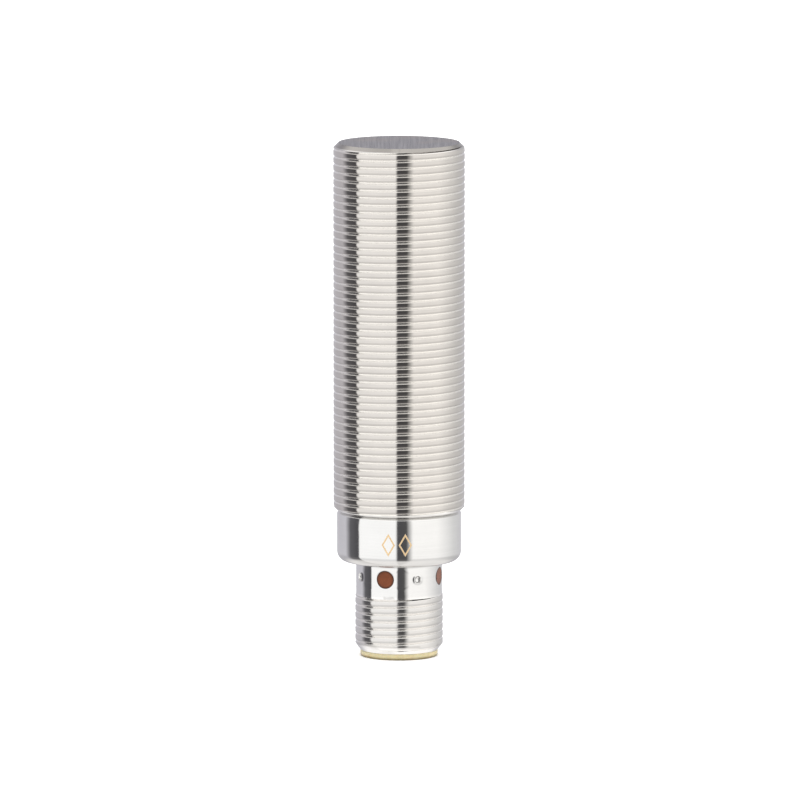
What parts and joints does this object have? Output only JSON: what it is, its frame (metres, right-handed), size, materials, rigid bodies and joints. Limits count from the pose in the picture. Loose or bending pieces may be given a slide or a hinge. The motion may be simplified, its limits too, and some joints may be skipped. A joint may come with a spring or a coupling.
{
  "type": "proximity sensor",
  "caption": "Threaded steel-barrel inductive proximity sensor with a closed sensing face, a smooth neck with status windows and a threaded male connector end.",
  "frame": {"origin": "centre of the connector end's flat rim, the lowest point of the sensor", "axes": "+Z along the barrel from the connector end to the sensing face; the status windows lie on +X, +Y, -X and -Y"},
  "size_m": [0.018, 0.018, 0.07],
  "materials": {
    "barrel_steel": "turned stainless steel with a rolled thread",
    "housing_steel": "turned stainless steel",
    "amber_plastic": "translucent amber moulding",
    "window_plastic": "translucent brown-amber moulding",
    "seal_rubber": "matt black O-ring",
    "contact_gold": "gold-plated contact",
    "board_green": "green solder mask on glass fibre",
    "link_film": "polyimide film",
    "lamp_white": "pale lamp body",
    "chip_black": "moulded black",
    "ceramic_tan": "fired ceramic",
    "ferrite_grey": "ground ferrite",
    "bobbin_white": "moulded white",
    "copper_wire": "enamelled copper",
    "shield_copper": "turned copper",
    "insulator_film": "polyimide sheet",
    "holder_black": "moulded black",
    "foil_film": "polyester film",
    "potting_resin": "cast resin"
  },
  "bodies": {
    "root": {"threaded_sleeve": "barrel_steel", "rear_housing": "housing_steel", "sleeve_seal": "seal_rubber", "connector_insert": "amber_plastic", "insert_seal": "seal_rubber", "light_ring": "window_plastic", "contact_pin_1": "contact_gold", "contact_pin_2": "contact_gold", "contact_pin_3": "contact_gold", "contact_pin_4": "contact_gold", "connector_board": "board_green", "circuit_board": "board_green", "board_link": "link_film", "status_lamp_1": "lamp_white", "status_lamp_2": "lamp_white", "status_lamp_3": "lamp_white", "status_lamp_4": "lamp_white", "oscillator_chip": "chip_black", "output_driver": "chip_black", "voltage_regulator": "chip_black", "protection_diode": "chip_black", "supply_capacitor": "ceramic_tan", "filter_capacitor": "ceramic_tan", "tuning_capacitor": "ceramic_tan", "sense_resistor": "chip_black", "trim_resistor": "chip_black", "face_insulator": "insulator_film", "ferrite_core": "ferrite_grey", "shield_ring": "shield_copper", "coil_bobbin": "bobbin_white", "coil_winding": "copper_wire", "coil_lead_1": "copper_wire", "coil_lead_2": "copper_wire", "coil_holder": "holder_black", "insulating_foil": "foil_film", "front_potting": "potting_resin", "rear_potting": "potting_resin"}
  },
  "joints": []
}
